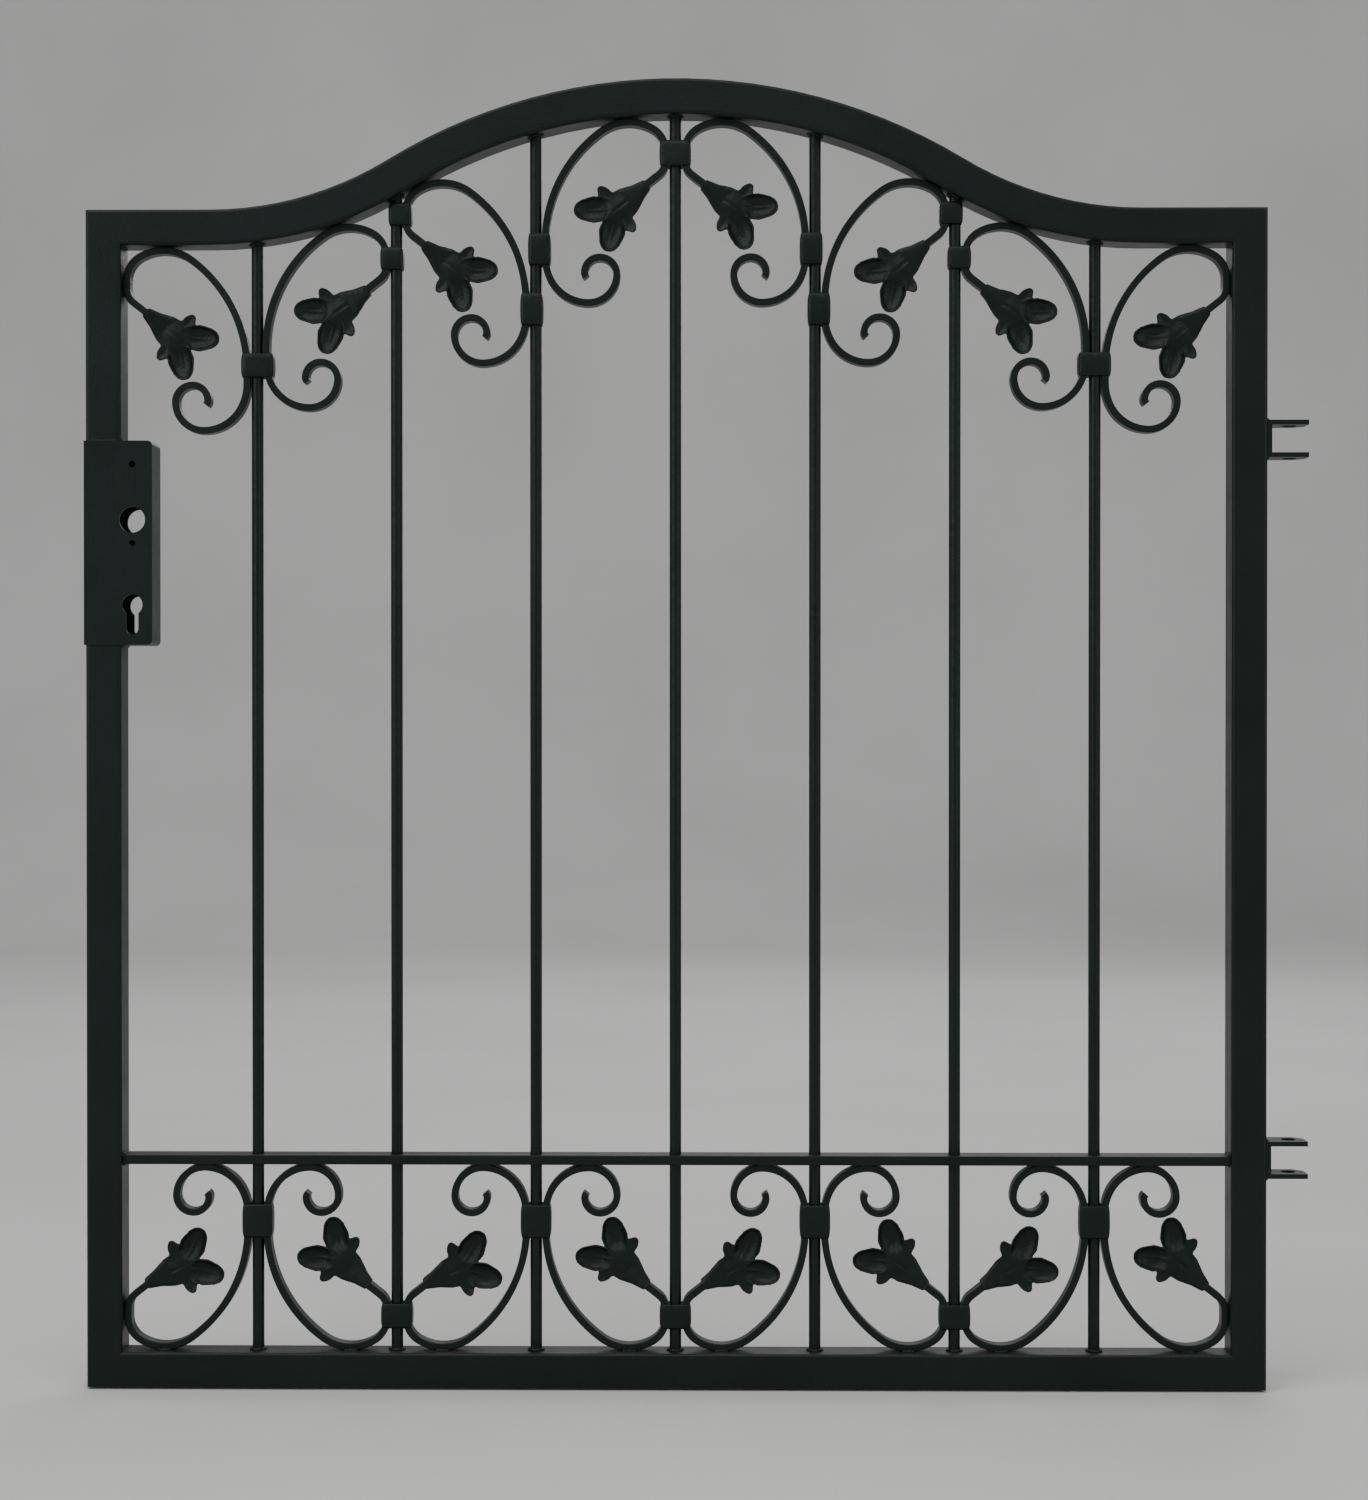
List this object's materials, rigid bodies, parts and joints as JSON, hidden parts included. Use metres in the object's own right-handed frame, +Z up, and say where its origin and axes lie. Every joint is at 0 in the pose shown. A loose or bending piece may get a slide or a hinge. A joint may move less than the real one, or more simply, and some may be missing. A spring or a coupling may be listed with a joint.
{
  "type": "garden gate",
  "caption": "Arched metal garden gate leaf: square tube frame, round uprights, C-scrolls with stamped leaves along top and bottom, welded lock box and hinge lugs.",
  "frame": {"origin": "middle of the lower hinge bracket's pin bore, in the frame's middle plane", "axes": "+Z up along the hinge pins, +X from the latch stile towards the hinge side, -Y out of the front face"},
  "size_m": [1.036, 0.032, 1.1099],
  "materials": {
    "frame_coat": "satin powder coat, dark green black",
    "wrought_coat": "satin powder coat, dark green black",
    "leaf_coat": "satin powder coat over stamped sheet",
    "lock_box_coat": "satin powder coat, dark green black",
    "bracket_coat": "satin powder coat, dark green black"
  },
  "bodies": {
    "root": {"bar_1": "wrought_coat", "bar_2": "wrought_coat", "bar_3": "wrought_coat", "bar_4": "wrought_coat", "bar_5": "wrought_coat", "bar_6": "wrought_coat", "bar_7": "wrought_coat", "bottom_flank_collars": "wrought_coat", "bottom_leaf_1": "leaf_coat", "bottom_leaf_2": "leaf_coat", "bottom_leaf_3": "leaf_coat", "bottom_leaf_4": "leaf_coat", "bottom_leaf_5": "leaf_coat", "bottom_leaf_6": "leaf_coat", "bottom_leaf_7": "leaf_coat", "bottom_leaf_8": "leaf_coat", "bottom_loop_collars": "wrought_coat", "bottom_rail": "frame_coat", "bottom_scroll_1": "wrought_coat", "bottom_scroll_2": "wrought_coat", "bottom_scroll_3": "wrought_coat", "bottom_scroll_4": "wrought_coat", "bottom_scroll_5": "wrought_coat", "bottom_scroll_6": "wrought_coat", "bottom_scroll_7": "wrought_coat", "bottom_scroll_8": "wrought_coat", "crown_collar": "wrought_coat", "hinge_stile": "frame_coat", "latch_stile_lower": "frame_coat", "latch_stile_upper": "frame_coat", "lock_box_back": "lock_box_coat", "lock_box_forend": "lock_box_coat", "lock_box_front": "lock_box_coat", "lock_box_rim": "lock_box_coat", "lower_hinge_bracket": "bracket_coat", "mid_rail": "frame_coat", "top_flank_collars": "wrought_coat", "top_leaf_1": "leaf_coat", "top_leaf_2": "leaf_coat", "top_leaf_3": "leaf_coat", "top_leaf_4": "leaf_coat", "top_leaf_5": "leaf_coat", "top_leaf_6": "leaf_coat", "top_leaf_7": "leaf_coat", "top_leaf_8": "leaf_coat", "top_loop_collars": "wrought_coat", "top_rail": "frame_coat", "top_scroll_1": "wrought_coat", "top_scroll_2": "wrought_coat", "top_scroll_3": "wrought_coat", "top_scroll_4": "wrought_coat", "top_scroll_5": "wrought_coat", "top_scroll_6": "wrought_coat", "top_scroll_7": "wrought_coat", "top_scroll_8": "wrought_coat", "upper_hinge_bracket": "bracket_coat"}
  },
  "joints": []
}
